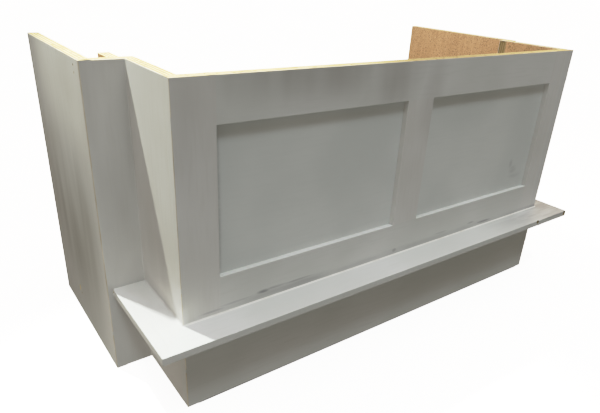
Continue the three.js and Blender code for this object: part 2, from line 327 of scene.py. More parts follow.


# Scuffs above the ledge and on the right panel, a grey over the ledge's right end, and painted shade
# along the left edges of both panels, in the corner of each recess.
RUBS_AND_SHADES = (
    ScuffAndShade((-0.4000, -0.211, 0.1712), (0.030, 0.004, 0.0030), 0.30),
    ScuffAndShade((-0.3570, -0.211, 0.1753), (0.040, 0.004, 0.0030), 0.42),
    ScuffAndShade((-0.3081, -0.211, 0.1774), (0.017, 0.004, 0.0050), 0.72),
    ScuffAndShade((-0.2830, -0.211, 0.1790), (0.030, 0.004, 0.0034), 0.55),
    ScuffAndShade((-0.2400, -0.211, 0.1780), (0.045, 0.004, 0.0030), 0.45),
    ScuffAndShade((-0.2500, -0.211, 0.1700), (0.150, 0.004, 0.0110), 0.36),
    ScuffAndShade((0.0000, -0.211, 0.1670), (0.520, 0.004, 0.0130), 0.24),
    ScuffAndShade((-0.0110, -0.211, 0.1722), (0.009, 0.004, 0.0055), 0.80),
    ScuffAndShade((0.1223, -0.211, 0.1774), (0.030, 0.004, 0.0034), 0.30),
    ScuffAndShade((0.2193, -0.211, 0.1775), (0.016, 0.004, 0.0034), 0.35),
    ScuffAndShade((0.2640, -0.211, 0.1708), (0.034, 0.004, 0.0036), 0.70),
    ScuffAndShade((0.3380, -0.201, 0.2900), (0.008, 0.004, 0.0150), 0.22),
    ScuffAndShade((0.3500, -0.201, 0.2740), (0.018, 0.004, 0.0130), 0.26),
    ScuffAndShade((0.3620, -0.201, 0.2600), (0.030, 0.004, 0.0100), 0.16),
    ScuffAndShade((-0.3850, -0.201, 0.3450), (0.011, 0.004, 0.2200), 0.26),
    ScuffAndShade((0.0315, -0.201, 0.3450), (0.011, 0.004, 0.2200), 0.20),
    ScuffAndShade((0.5000, -0.200, 0.1630), (0.300, 0.150, 0.0120), 0.50),
)
# Broad faint greys that follow the photograph's tones: painted shade over the top rail and the tops of
# the stiles, over most of the left wing's side, on the step face and low on the left round the ledge's
# left return. Whether such a tone is on the paint or in the light can't be told from it.
PAINTED_SHADES = (
    ScuffAndShade((-0.2100, -0.211, 0.5320), (0.270, 0.004, 0.0760), 0.72),
    ScuffAndShade((-0.0700, -0.211, 0.5200), (0.100, 0.004, 0.0950), 0.75),
    ScuffAndShade((0.0350, -0.211, 0.4700), (0.040, 0.004, 0.1200), 0.25),
    ScuffAndShade((-0.4200, -0.211, 0.4600), (0.060, 0.004, 0.1500), 0.25),
    ScuffAndShade((-0.5135, 0.0950, 0.2250), (0.004, 0.2350, 0.2500), 0.84),
    ScuffAndShade((-0.4800, -0.056, 0.4200), (0.120, 0.004, 0.3600), 0.45),
    ScuffAndShade((-0.4600, -0.100, 0.2000), (0.060, 0.120, 0.1600), 0.30),
)


@dataclass(frozen=True)
class SatinPaint:
    """Sprayed satin off-white lacquer on plywood.

    It gives the eye a soft sheen, fine orange peel and slow waves, with the wood's grain showing
    faintly through along the board. The grain is drawn about twice as coarse as the real one, so
    that it shows.
    """

    name: str
    grain_axis: int
    coat: str = "dbdad7"
    other_coat: str = "d0cec9"
    scuff_and_shade_grey: str = "6c696e"
    painted_shade_grey: str = "9c9892"
    roughness: float = 0.45
    refraction: float = 1.48
    clouds: Pattern = Pattern(200 * MM, 2.0, 0.35, 0.65, 0.7)
    grain_width: float = 5 * MM
    grain_detail: float = 4.0
    grain_stretch: float = 0.09
    grain_height: float = 0.06 * MM
    grain_tint: float = 0.35
    waves: Relief = Relief(160 * MM, 0.0, 0.25 * MM)
    peel: Relief = Relief(1.8 * MM, 1.0, 0.03 * MM)
    scuff_and_shade_streaks: Pattern = Pattern(12 * MM, 4.0, 0.25, 0.62, 1.0, 0.35)
    scuff_and_shade_stretch: Triple = (0.16, 1.0, 1.2)
    painted_shade_streaks: Pattern = Pattern(70 * MM, 2.0, 0.3, 0.7, 1.0, 0.3)
    painted_shade_stretch: Triple = (1.0, 1.0, 0.14)

    def material(self) -> Material:
        """Builds the lacquer.

        Returns:
            The finished material.
        """
        s = Shader(self.name)
        along = drawn_out(self.grain_axis, self.grain_stretch)
        tint = Pattern(self.grain_width, self.grain_detail, 0.45, 0.7, self.grain_tint)
        coat = s.lay(self.coat, self.other_coat, self.clouds)
        coat = s.lay(coat, self.other_coat, tint, along)
        # Scuffs, a grey over the ledge's right end, and painted shade along the panels' left edges.
        scuff_and_shade_streaks = s.patches(self.scuff_and_shade_streaks, self.scuff_and_shade_stretch)
        coat = self.marked(s, coat, RUBS_AND_SHADES, self.scuff_and_shade_grey, scuff_and_shade_streaks)
        # Broad painted shade over the top rail, the stiles' tops, the left wing, the step face and the
        # left return.
        painted_shade_streaks = s.patches(self.painted_shade_streaks, self.painted_shade_stretch)
        coat = self.marked(s, coat, PAINTED_SHADES, self.painted_shade_grey, painted_shade_streaks)
        figure = Relief(self.grain_width, self.grain_detail, self.grain_height)
        normal = s.roughen(self.waves)
        normal = s.roughen(figure, along, normal)
        normal = s.roughen(self.peel, under=normal)
        sheen = Pattern(120 * MM, 4.0, 0.3, 0.7, self.roughness + 0.07, self.roughness - 0.05)
        look = {"Base Color": coat, "IOR": self.refraction, "Normal": normal}
        return s.finish(look | {"Roughness": s.patches(sheen)})

    def marked(
        self, s: Shader, coat: Socket, rubs: tuple[ScuffAndShade, ...], grey: str, streaks: Socket
    ) -> Socket:
        """Lays grey patches over the coat, broken up by streaks: scuffs, and painted shade.

        Args:
            s: Shader under construction.
            coat: Colour of the coat.
            rubs: Where the grey patches lie: scuffs and painted shade.
            grey: Their colour, in hex digits.
            streaks: How much of a mark shows at each place.

        Returns:
            The colour of the marked coat.
        """
        shown = None
        for rub in rubs:
            inputs = {0: s.place, 1: rub.middle}
            offset = s.add("ShaderNodeVectorMath", {"operation": "SUBTRACT"}, inputs).outputs[0]
            inputs = {0: offset, 1: rub.reach}
            radius = s.add("ShaderNodeVectorMath", {"operation": "DIVIDE"}, inputs).outputs[0]
            length = s.add("ShaderNodeVectorMath", {"operation": "LENGTH"}, {0: radius})
            fade = {
                "Value": length.outputs["Value"],
                "From Min": 1.0,
                "From Max": 0.2,
                "To Max": rub.strength,
            }
            core = s.add("ShaderNodeMapRange", SMOOTH, fade).outputs[0]
            inputs = {0: core, 1: streaks}
            mark = s.add("ShaderNodeMath", {"operation": "MULTIPLY"}, inputs).outputs[0]
            if shown is None:
                shown = mark
            else:
                inputs = {0: shown, 1: mark}
                shown = s.add("ShaderNodeMath", {"operation": "MAXIMUM"}, inputs).outputs[0]
        inputs = {SHARE: shown, UNDER: coat, OVER: linear(grey)}
        return s.add("ShaderNodeMix", COLOURS, inputs).outputs[MIXED]


@dataclass(frozen=True)
class Patched:
    """A finish of two colours in patches, with one relief."""

    name: str
    colour: str
    other: str
    patches: Pattern
    relief: Relief
    roughness: float
    refraction: float

    def material(self) -> Material:
        """Builds the finish.

        Returns:
            The finished material.
        """
        s = Shader(self.name)
        look = {"Roughness": self.roughness, "IOR": self.refraction}
        look["Base Color"] = s.lay(self.colour, self.other, self.patches)
        look["Normal"] = s.roughen(self.relief)
        return s.finish(look)


# White acrylic painter's caulk, tooled by finger: whiter and softer in sheen than the lacquer. On the
# one bead that takes it, at the front of the ledge, its whiteness is partly a painted highlight along
# the foot of the box.
CAULK_AND_HIGHLIGHT = Patched(
    "white_acrylic_caulk_and_painted_highlight",
    "f1f0ea",
    "d9d6cd",
    Pattern(30 * MM, 3.0, 0.45, 0.75, 0.8),
    Relief(6 * MM, 2.0, 0.2 * MM),
    roughness=0.55,
    refraction=1.46,
)
# The same lacquer where it runs thin over an arris: the pale ply shows beige through it in places.
THIN_PAINT = Patched(
    "lacquer_worn_thin_on_arris",
    "dcd7ca",
    "bfb198",
    Pattern(55 * MM, 4.0, 0.35, 0.7, 0.9, 0.1),
    Relief(1.5 * MM, 3.0, 0.05 * MM),
    roughness=0.5,
    refraction=1.48,
)
# Dried wood glue squeezed from a joint: an amber skin, glossy, with small bubbles.
GLUE = Patched(
    "dried_wood_glue",
    "cdb77c",
    "b2904c",
    Pattern(9 * MM, 3.0, 0.4, 0.65),
    Relief(2 * MM, 2.0, 0.3 * MM),
    roughness=0.25,
    refraction=1.47,
)


@dataclass(frozen=True)
class RawVeneer:
    """Unfinished tan face veneer, sanded: dry and matt, with fine flecks, long grain and patches."""

    name: str
    grain_axis: int
    light: str = "cdae85"
    dark: str = "b3946c"
    pale: str = "dfc6a2"
    fleck: str = "866a47"
    roughness: float = 0.85
    grain: Pattern = Pattern(9 * MM, 4.0, 0.35, 0.65, 0.4)
    grain_stretch: float = 0.12
    clouds: Pattern = Pattern(90 * MM, 3.0, 0.35, 0.7, 0.45)
    glints: Pattern = Pattern(4.2 * MM, 2.0, 0.55, 0.7, 0.6)
    glint_stretch: Triple = (1.3, 1.3, 1.3)
    flecks: Pattern = Pattern(3.0 * MM, 3.0, 0.52, 0.68, 0.85)
    pores: Relief = Relief(1.2 * MM, 3.0, 0.12 * MM)

    def material(self) -> Material:
        """Builds the veneer.

        Returns:
            The finished material.
        """
        s = Shader(self.name)
        along = drawn_out(self.grain_axis, self.grain_stretch)
        colour = s.lay(self.light, self.dark, self.grain, along)
        colour = s.lay(colour, self.dark, self.clouds)
        colour = s.lay(colour, self.pale, self.glints, self.glint_stretch)
        colour = s.lay(colour, self.fleck, self.flecks)
        normal = s.roughen(self.pores, along)
        return s.finish({"Base Color": colour, "Roughness": self.roughness, "Normal": normal})


@dataclass(frozen=True)
class PlyEdge:
    """Sawn plywood edge: pale cream plies, every other one end grain and a touch darker."""

    name: str
    thickness_axis: int
    pale: str = "ead69e"
    end_grain: str = "bd9c5c"
    void: str = "8c6f42"
    roughness: float = 0.8
    ply: float = 2.7 * MM
    clouds: Pattern = Pattern(45 * MM, 4.0, 0.45, 0.7, 0.55)
    gaps: Pattern = Pattern(7 * MM, 4.0, 0.58, 0.7, 0.8)
    saw_marks: Relief = Relief(1.0 * MM, 3.0, 0.15 * MM)

    def material(self) -> Material:
        """Builds the edge.

        Returns:
            The finished material.
        """
        s = Shader(self.name)
        radians_per_scale = 20
        direction = "XYZ"[self.thickness_axis]
        wave = {
            "Vector": s.place,
            "Scale": 2 * math.pi / (radians_per_scale * 2 * self.ply),
            "Distortion": 0.6,
            "Detail": 2.0,
            "Detail Scale": 0.6,
        }
        settings = {"wave_type": "BANDS", "bands_direction": direction}
        bands = s.add("ShaderNodeTexWave", settings, wave).outputs["Fac"]
        climb = {"Value": bands, "From Min": 0.3, "From Max": 0.7, "To Max": 0.9}
        plies = s.add("ShaderNodeMapRange", SMOOTH, climb).outputs[0]
        pair = {SHARE: plies, UNDER: linear(self.pale), OVER: linear(self.end_grain)}
        colour = s.add("ShaderNodeMix", COLOURS, pair).outputs[MIXED]
        colour = s.lay(colour, self.end_grain, self.clouds)
        colour = s.lay(colour, self.void, self.gaps)
        normal = s.roughen(self.saw_marks)
        return s.finish({"Base Color": colour, "Roughness": self.roughness, "Normal": normal})


@dataclass(frozen=True)
class PlanedPine:
    """Raw planed pine: straw yellow with darker late wood in lines along the stick, a soft low gloss."""

    name: str
    grain_axis: int
    early: str = "e0c795"
    late: str = "b98f55"
    roughness: float = 0.62
    refraction: float = 1.5
    rings: Pattern = Pattern(5 * MM, 2.0, 0.46, 0.62, 0.8)
    ridges: Relief = Relief(5 * MM, 2.0, 0.1 * MM)
    grain_stretch: float = 0.03
    tones: Pattern = Pattern(300 * MM, 1.0, 0.4, 0.6, 0.3)

    def material(self) -> Material:
        """Builds the pine.

        Returns:
            The finished material.
        """
        s = Shader(self.name)
        along = drawn_out(self.grain_axis, self.grain_stretch)
        colour = s.lay(self.early, self.late, self.rings, along)
        look = {"Roughness": self.roughness, "IOR": self.refraction}
        look["Base Color"] = s.lay(colour, self.late, self.tones)
        look["Normal"] = s.roughen(self.ridges, along)
        return s.finish(look)


@dataclass(frozen=True)
class ZincSteel:
    """Yellow-passivated zinc on a cold-formed screw: bright metal, faintly brassy, finely rubbed."""

    name: str = "zinc_plated_steel"
    bright: str = "c9bd93"
    dull: str = "8f8a72"
    roughness: float = 0.32
    wear: Pattern = Pattern(1.5 * MM, 4.0, 0.4, 0.65)
    rubs: Relief = Relief(0.5 * MM, 2.0, 0.01 * MM)

    def material(self) -> Material:
        """Builds the plating.

        Returns:
            The finished material.
        """
        s = Shader(self.name)
        gloss = {
            "Value": s.patches(self.wear),
            "To Min": self.roughness - 0.08,
            "To Max": self.roughness + 0.12,
        }
        return s.finish(
            {
                "Base Color": s.lay(self.bright, self.dull, self.wear),
                "Metallic": 1.0,
                "Roughness": s.add("ShaderNodeMapRange", SMOOTH, gloss).outputs[0],
                "Normal": s.roughen(self.rubs),
            }
        )


@dataclass(frozen=True)
class StudioFloor:
    """Pale seamless floor, very slightly mottled, so that the object's foot reads against it."""

    name: str = "pale_seamless_floor"
    light: str = "f6f5f3"
    shade: str = "efeeeb"
    roughness: float = 0.9
    glow: float = 2.2
    mottle: Pattern = Pattern(800 * MM, 2.0, 0.4, 0.6)

    def material(self) -> Material:
        """Builds the floor.

        Returns:
            The finished material.
        """
        s = Shader(self.name)
        return s.finish(
            {
                "Base Color": s.lay(self.light, self.shade, self.mottle),
                "Roughness": self.roughness,
                "Emission Color": linear(self.light),
                "Emission Strength": self.glow,
            }
        )


@dataclass
class Finishes:
    """All materials of the cover, made once."""

    panel_paint: Material = field(init=False)
    arris: Material = field(default_factory=THIN_PAINT.material)
    zinc: Material = field(default_factory=lambda: ZincSteel().material())
    glue: Material = field(default_factory=GLUE.material)
    caulk: Material = field(default_factory=CAULK_AND_HIGHLIGHT.material)
    paint: dict[int, Material] = field(default_factory=dict)
    veneer: dict[int, Material] = field(default_factory=dict)
    rim: dict[int, Material] = field(default_factory=dict)
    end: dict[int, Material] = field(default_factory=dict)
    pine: dict[int, Material] = field(default_factory=dict)

    def __post_init__(self) -> None:
        """Makes the finishes that follow a direction of grain or of board thickness."""
        panel = SatinPaint(
            "satin_lacquer_and_painted_shade_on_panel",
            0,
            coat="dbddda",
            other_coat="ced1ce",
            grain_height=0.02 * MM,
            grain_tint=0.15,
        )
        self.panel_paint = panel.material()
        for axis, letter in enumerate("xyz"):
            coats = ("dadad7", "cecfca") if axis == 0 else ("dbdad7", "d0cec9")
            paint = SatinPaint(f"satin_lacquer_and_painted_shade_grain_{letter}", axis, *coats)
            self.paint[axis] = paint.material()
            self.veneer[axis] = RawVeneer(f"raw_tan_veneer_grain_{letter}", axis).material()
            self.rim[axis] = PlyEdge(f"sawn_ply_rim_{letter}", axis).material()
            # The upright sawn ends take a darker copy of the ply edge: partly aged end grain, partly
            # painted shade.
            weathered_and_shaded = PlyEdge(f"weathered_and_shaded_ply_end_{letter}", axis, "a3926a", "7d6c46", "4f4228")
            self.end[axis] = weathered_and_shaded.material()
            self.pine[axis] = PlanedPine(f"planed_pine_grain_{letter}", axis).material()


# ----------------------------------------
# Modelling steps

# Angle up to which two faces count as one flat face.
FLAT = math.radians(0.5)


def deselect_all() -> None:
    """Leaves nothing selected and no mesh open."""
    if bpy.context.object and bpy.context.object.mode != "OBJECT":
        bpy.ops.object.mode_set(mode="OBJECT")
    bpy.ops.object.select_all(action="DESELECT")


def make_active(piece: Piece) -> None:
    """Selects one piece alone and makes it active.

    Args:
        piece: The piece.
    """
    deselect_all()
    piece.select_set(True)
    bpy.context.view_layer.objects.active = piece


def open_mesh(piece: Piece, action: str) -> None:
    """Opens a piece's mesh to work on its edges.

    Args:
        piece: The piece.
        action: SELECT to start with all of it selected, DESELECT with nothing.
    """
    make_active(piece)
    bpy.ops.object.mode_set(mode="EDIT")
    bpy.ops.mesh.select_mode(type="EDGE")
    bpy.ops.mesh.select_all(action=action)


def settle(piece: Piece) -> None:
    """Puts a finished piece's place into its mesh, so that its object stands at the origin."""
    make_active(piece)
    bpy.ops.object.transform_apply(location=True, rotation=True, scale=True)


def smooth(piece: Piece, degrees: float) -> None:
    """Shades a piece smooth except across sharper edges, with the large faces kept flat.

    Args:
        piece: Piece to shade.
        degrees: Angle above which an edge stays sharp.
    """
    make_active(piece)
    bpy.ops.object.shade_smooth_by_angle(angle=math.radians(degrees))
    even = piece.modifiers.new("even_normals", "WEIGHTED_NORMAL")
    even.keep_sharp = True
    even.weight = 100
    bpy.ops.object.modifier_apply(modifier=even.name)


def carve(piece: Piece, tool: Piece) -> None:
    """Cuts the shape of a tool out of a piece and puts the tool away.

    Args:
        piece: Piece that is cut.
        tool: Closed shape that goes out of it.
    """
    make_active(piece)
    cut = piece.modifiers.new("cut", "BOOLEAN")
    cut.operation = "DIFFERENCE"
    cut.solver = "EXACT"
    cut.object = tool
    bpy.ops.object.modifier_apply(modifier=cut.name)
    bpy.data.objects.remove(tool)


def inside(point: Vector, box: Box) -> bool:
    """Whether a point lies in a box."""
    return all(box[0][i] < point[i] < box[1][i] for i in range(3))


# ----------------------------------------
# Boards

# Cosines above which a face points in a direction, and above which it lies level.
FACING = 0.6
LEVEL = 0.5
# Nearer to a limit of a board than this is at the limit.
MARGIN = 2 * MM
# How near a board has to lie to touch, and how far off an edge a neighbour is looked for.
TOUCH = 0.6 * MM
PROBE = 0.5 * MM
# Shortest edge and least turn that count as an arris.
SHORTEST_ARRIS = 10 * MM
LEAST_TURN = math.radians(60)


@dataclass
class Board:
    """One board of the cover: its node, the axis of its thickness, and the sides that carry lacquer.

    On the arrises at its worn sides the lacquer is thin. Into openings it reaches to the paint's
    depth.
    """

    node: str
    thickness_axis: int
    painted: tuple[Axis, ...] = ()
    slot: str = "painted_board"
    arris: float = 0.8 * MM
    segments: int = 3
    seam: float = 0.0
    worn: tuple[Axis, ...] = ()
    paint_depth: float = 1.0

    def faces_of(self, finishes: Finishes) -> list[Material]:
        """Materials in the order of the Surface values.

        Args:
            finishes: All materials of the cover.

        Returns:
            One material for each kind of surface.
        """
        low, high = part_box(self.node)
        size = high - low
        grain = max(range(3), key=lambda axis: size[axis])
        if self.slot == "pine":
            wood = finishes.pine[grain]
            return [wood] * len(Surface)
        rim = finishes.rim[self.thickness_axis]
        end = finishes.end[self.thickness_axis]
        arris = finishes.arris if self.painted else rim
        is_panel = self.node.startswith("front_panel")
        paint = finishes.panel_paint if is_panel else finishes.paint[grain]
        return [finishes.veneer[grain], paint, rim, end, arris]

    def kind_of(self, normal: Vector, centre: Vector) -> Surface:
        """Which kind of surface a flat face is.

        Args:
            normal: Outward direction of the face.
            centre: Middle of the face.

        Returns:
            The kind of surface.
        """
        level = abs(normal.z) > LEVEL
        at_height_limit = not CAD_BOUNDS[0].z + MARGIN < centre.z < CAD_BOUNDS[1].z - MARGIN
        if level and at_height_limit:
            return Surface.RIM
        painted = any(normal.dot(axis.vector) > FACING for axis in self.painted)
        if painted and self.is_reached(normal, centre):
            return Surface.PAINT
        if abs(normal[self.thickness_axis]) > FACING:
            return Surface.FACE
        # Level cut edges take the pale rim, upright ones the darker end, which is partly painted shade.
        return Surface.RIM if level else Surface.END

    def is_reached(self, normal: Vector, centre: Vector) -> bool:
        """Whether the spray reached a face: the outer sides, and the inner ones to the paint's depth.

        Args:
            normal: Outward direction of the face.
            centre: Middle of the face.

        Returns:
            False for the part of an opening's edge that lies behind the panel.
        """
        if any(normal.dot(axis.vector) > FACING for axis in self.worn):
            return True
        return centre.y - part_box(self.node)[0].y < self.paint_depth

    def build(self, finishes: Finishes, others: dict[str, Box]) -> Piece:
        """Makes the finished copy of the board's node.

        Args:
            finishes: Materials to dress it with.
            others: Boxes of all boards, by node, to tell joints from free arrises.

        Returns:
            The finished board, which replaces its node.
        """
        piece = self.merged_copy()
        for material in self.faces_of(finishes):
            piece.data.materials.append(material)
        near = self.neighbours(others)
        self.split_at_joints(piece, near)
        self.dress_faces(piece)
        self.ease(piece, near, self.arris, self.segments, self.is_free)
        if self.seam:
            self.ease(piece, near, self.seam, 1, self.is_seam)
        self.coat_arrises(piece)
        self.clear_cuts(piece)
        for dent in DENTS:
            if dent.node == self.node:
                dent.cut(piece)
        smooth(piece, 50)
        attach(piece, BODY)
        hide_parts(self.node)
        LOG.info("board %s: %d faces", piece.name, len(piece.data.polygons))
        return piece

    def merged_copy(self) -> Piece:
        """Copies the node, merges its doubles and makes its flat faces whole.

        Returns:
            The copy.
        """
        make_active(frame["nodes"][self.node])
        bpy.ops.object.duplicate()
        piece = bpy.context.object
        piece.name = f"{self.node}_finished"
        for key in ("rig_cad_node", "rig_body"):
            piece.pop(key, None)
        piece.parent = None
        piece.data.materials.clear()
        open_mesh(piece, "SELECT")
        bpy.ops.mesh.customdata_custom_splitnormals_clear()
        bpy.ops.mesh.remove_doubles(threshold=1e-6)
        bpy.ops.mesh.dissolve_limited(angle_limit=FLAT)
        bpy.ops.object.mode_set(mode="OBJECT")
        return piece

    def neighbours(self, others: dict[str, Box]) -> list[Box]:
        """Finds the boards that touch this one.

        Args:
            others: Boxes of all boards, by node.

        Returns:
            Boxes of the touching boards.
        """
        low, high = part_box(self.node)
        near = []
        for name, box in others.items():
            meets = all(
                box[0][i] < high[i] + TOUCH and box[1][i] > low[i] - TOUCH for i in range(3)
            )
            if name != self.node and meets:
                near.append(box)
        return near

    def split_at_joints(self, piece: Piece, near: list[Box]) -> None:
        """Cuts the faces where a neighbour begins or ends, so that an arris is eased to there only.

        Args:
            piece: Board being finished.
            near: Boxes of the touching boards.
        """
        low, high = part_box(self.node)
        planes = set()
        for box in near:
            for corner in box:
                for axis in range(3):
                    if low[axis] + MARGIN < corner[axis] < high[axis] - MARGIN:
                        planes.add((axis, round(corner[axis], 5)))
        open_mesh(piece, "SELECT")
        for axis, place in sorted(planes):
            point = Vector((0, 0, 0))
            point[axis] = place
            normal = Vector((0, 0, 0))
            normal[axis] = 1
            bpy.ops.mesh.select_all(action="SELECT")
            bpy.ops.mesh.bisect(plane_co=point, plane_no=normal, use_fill=False)
        bpy.ops.object.mode_set(mode="OBJECT")

    def dress_faces(self, piece: Piece) -> None:
        """Gives each flat face the slot of its kind of surface."""
        for polygon in piece.data.polygons:
            polygon.material_index = self.kind_of(polygon.normal, polygon.center).value

    def touched(self, edge: Edge, near: list[Box]) -> list[bool]:
        """Whether a neighbour lies just off each of the two faces of an arris.

        Args:
            edge: Edge of the board.
            near: Boxes of the touching boards.

        Returns:
            One answer for each face.
        """
        middle = (edge.verts[0].co + edge.verts[1].co) / 2
        first, second = (face.normal for face in edge.link_faces)
        probes = (middle + (first - second) * PROBE, middle + (second - first) * PROBE)
        return [any(inside(probe, box) for box in near) for probe in probes]

    def is_arris(self, edge: Edge) -> bool:
        """Whether an edge is a long square outer edge.

        Args:
            edge: Edge of the board.

        Returns:
            True if it is.
        """
        if len(edge.link_faces) != 2 or edge.calc_length() < SHORTEST_ARRIS:
            return False
        return edge.is_convex and edge.calc_face_angle(0) > LEAST_TURN

    def is_free(self, edge: Edge, near: list[Box]) -> bool:
        """Whether an edge is an outer arris that no neighbour touches."""
        return self.is_arris(edge) and not any(self.touched(edge, near))

    def is_seam(self, edge: Edge, near: list[Box]) -> bool:
        """Whether an edge lies in a painted face and a neighbour touches it.

        Args:
            edge: Edge of the board.
            near: Boxes of the touching boards.

        Returns:
            True if it does.
        """
        if not self.is_arris(edge):
            return False
        kinds = {Surface(face.material_index) for face in edge.link_faces}
        return Surface.PAINT in kinds and any(self.touched(edge, near))

    def ease(
        self,
        piece: Piece,
        near: list[Box],
        width: float,
        segments: int,
        wanted: Callable[[Edge, list[Box]], bool],
    ) -> None:
        """Rounds the wanted edges a little.

        Args:
            piece: Board being finished.
            near: Boxes of the touching boards.
            width: How far the rounding reaches from the edge.
            segments: Facets of the rounding.
            wanted: Tells whether an edge is rounded.
        """
        open_mesh(piece, "DESELECT")
        mesh = bmesh.from_edit_mesh(piece.data)
        mesh.normal_update()
        for edge in mesh.edges:
            edge.select_set(wanted(edge, near))
        bmesh.update_edit_mesh(piece.data)
        bpy.ops.mesh.bevel(
            offset=width,
            segments=segments,
            profile=0.5,
            affect="EDGES",
            clamp_overlap=True,
            material=Surface.ARRIS.value,
        )
        bpy.ops.object.mode_set(mode="OBJECT")

    def coat_arrises(self, piece: Piece) -> None:
        """Coats the eased arrises of a lacquered board, except at the sides where it is worn.

        Args:
            piece: Board being finished.
        """
        if not self.painted:
            return
        low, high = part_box(self.node)
        for polygon in piece.data.polygons:
            if Surface(polygon.material_index) is not Surface.ARRIS:
                continue
            worn = False
            for side in self.worn:
                limit = high if sum(side.value) > 0 else low
                worn = worn or abs((limit - polygon.center).dot(side.vector)) < MARGIN
            if not worn:
                polygon.material_index = Surface.PAINT.value

    def clear_cuts(self, piece: Piece) -> None:
        """Joins the flat faces again that were cut at joints.

        Args:
            piece: Board being finished.
        """
        open_mesh(piece, "SELECT")
        bpy.ops.mesh.dissolve_limited(angle_limit=FLAT, delimit={"MATERIAL", "NORMAL"})
        bpy.ops.object.mode_set(mode="OBJECT")


@dataclass(frozen=True)
class Dent:
    """A small hollow knocked or sunk into a board: a filled brad hole or a chip that shows raw wood.

    A chip, which shows a raw end, has a ragged outline.
    """

    node: str
    middle: Triple
    reach: Triple
    shows: Surface
    raggedness: float = 0.12
    seed: int = 3

    def cut(self, piece: Piece) -> None:
        """Cuts the hollow into a board.

        Args:
            piece: Finished copy of the board.
        """
        deselect_all()
        bpy.ops.mesh.primitive_ico_sphere_add(subdivisions=3, radius=1.0, location=(0, 0, 0))
        tool = bpy.context.object
        ragged = self.raggedness if self.shows is Surface.END else 0.0
        open_mesh(tool, "SELECT")
        bpy.ops.transform.vertex_random(offset=ragged, seed=self.seed)
        bpy.ops.object.mode_set(mode="OBJECT")
        tool.location = self.middle
        tool.scale = self.reach
        settle(tool)
        for material in piece.data.materials:
            tool.data.materials.append(material)
        for polygon in tool.data.polygons:
            polygon.material_index = self.shows.value
        carve(piece, tool)
        LOG.info("dent in %s", self.node)


LEFT = -0.5135
FRONT = -0.266
TOP = 0.1625
DENTS = (
    Dent("wing_side_left", (LEFT - 0.0008, 0.1477, 0.0600), (0.0022, 0.0040, 0.0070), Surface.RIM),
    Dent("wing_side_left", (LEFT - 0.0008, 0.1400, 0.0500), (0.0018, 0.0026, 0.0024), Surface.END),
    Dent("wing_side_left", (LEFT - 0.0012, -0.0290, 0.5190), (0.0020, 0.0024, 0.0020), Surface.END),
    Dent("wing_side_left", (LEFT - 0.0012, -0.0290, 0.5080), (0.0020, 0.0022, 0.0028), Surface.ARRIS),
    Dent("ledge_front", (0.3960, FRONT, TOP - 0.0030), (0.0045, 0.0030, 0.0040), Surface.END),
    Dent("ledge_front", (0.5070, FRONT, TOP - 0.0050), (0.0050, 0.0040, 0.0062), Surface.END),
    Dent("ledge_return_left", (-0.5045, -0.0575, TOP - 0.0030), (0.0030, 0.0040, 0.0035), Surface.END),
)


# ----------------------------------------
# Sub-assemblies

ROUND_THE_FACE = (Axis.FRONT, Axis.LEFT, Axis.RIGHT, Axis.UP, Axis.DOWN)


@dataclass
class Boards:
    """A sub-assembly that is made of boards only."""

    def boards(self) -> list[Board]:
        """Its boards, in the order in which they are built."""
        return []

    def build(self, finishes: Finishes, others: dict[str, Box]) -> None:
        """Builds each board of the sub-assembly.

        Args:
            finishes: Materials to dress them with.
            others: Boxes of all boards, by node.
        """
        LOG.info("sub-assembly %s", type(self).__name__)
        for board in self.boards():
            board.build(finishes, others)


@dataclass
class FramedFront(Boards):
    """The framed front with its panels and the apron under the ledge."""

    arris: float = 0.9 * MM
    apron_arris: float = 1.6 * MM
    opening_depth: float = 10.5 * MM

    def boards(self) -> list[Board]:
        """Lists the boards of the front.

        Returns:
            The boards.
        """
        worn = {
            "front_stile_left": (Axis.LEFT, Axis.UP),
            "front_stile_right": (Axis.RIGHT, Axis.UP),
            "front_stile_centre": (),
            "front_rail_top": (Axis.UP,),
            "front_rail_bottom": (),
        }
        look = {"arris": self.arris, "paint_depth": self.opening_depth}
        boards = [Board(n, 1, ROUND_THE_FACE, worn=sides, **look) for n, sides in worn.items()]
        boards.append(Board("front_panel_left", 1, (Axis.FRONT,)))
        boards.append(Board("front_panel_right", 1, (Axis.FRONT,)))
        ends = (Axis.LEFT, Axis.RIGHT)
        boards.append(Board("apron_board", 1, ROUND_THE_FACE, arris=self.apron_arris, worn=ends))
        return boards


@dataclass
class Ledge(Boards):
    """The ledge, lacquered all round except along its hidden inner edge."""

    arris: float = 1.2 * MM

    def boards(self) -> list[Board]:
        """Lists the boards of the ledge.

        Returns:
            The boards.
        """
        all_round = (*ROUND_THE_FACE, Axis.BACK)
        boards = [Board("ledge_front", 2, ROUND_THE_FACE, arris=self.arris)]
        for side in ("left", "right"):
            boards.append(Board(f"ledge_return_{side}", 2, all_round, arris=self.arris))
        return boards


@dataclass
class Carcass(Boards):
    """Box sides, step panels and wings, with the return behind the left step."""

    step_arris: float = 1.4 * MM
    seam: float = 0.3 * MM

    def boards(self) -> list[Board]:
        """Lists the boards of the carcass.

        Returns:
            The boards.
        """
        boards = []
        sides = (("left", Axis.LEFT), ("right", Axis.RIGHT))
        look = {"seam": self.seam}
        for side, out in sides:
            name = f"box_side_{side}"
            boards.append(Board(name, 0, (out,), worn=(Axis.UP, Axis.FRONT), **look))
        for side, out in sides:
            name = f"step_panel_{side}"
            step = Board(name, 1, (Axis.FRONT, out), arris=self.step_arris, worn=(out, Axis.UP), **look)
            boards.append(step)
        for side, out in sides:
            name = f"wing_side_{side}"
            boards.append(Board(name, 0, (out,), worn=(Axis.UP, Axis.FRONT, Axis.BACK), **look))
        boards.append(Board("corner_return_left", 0, (), "raw_plywood"))
        return boards


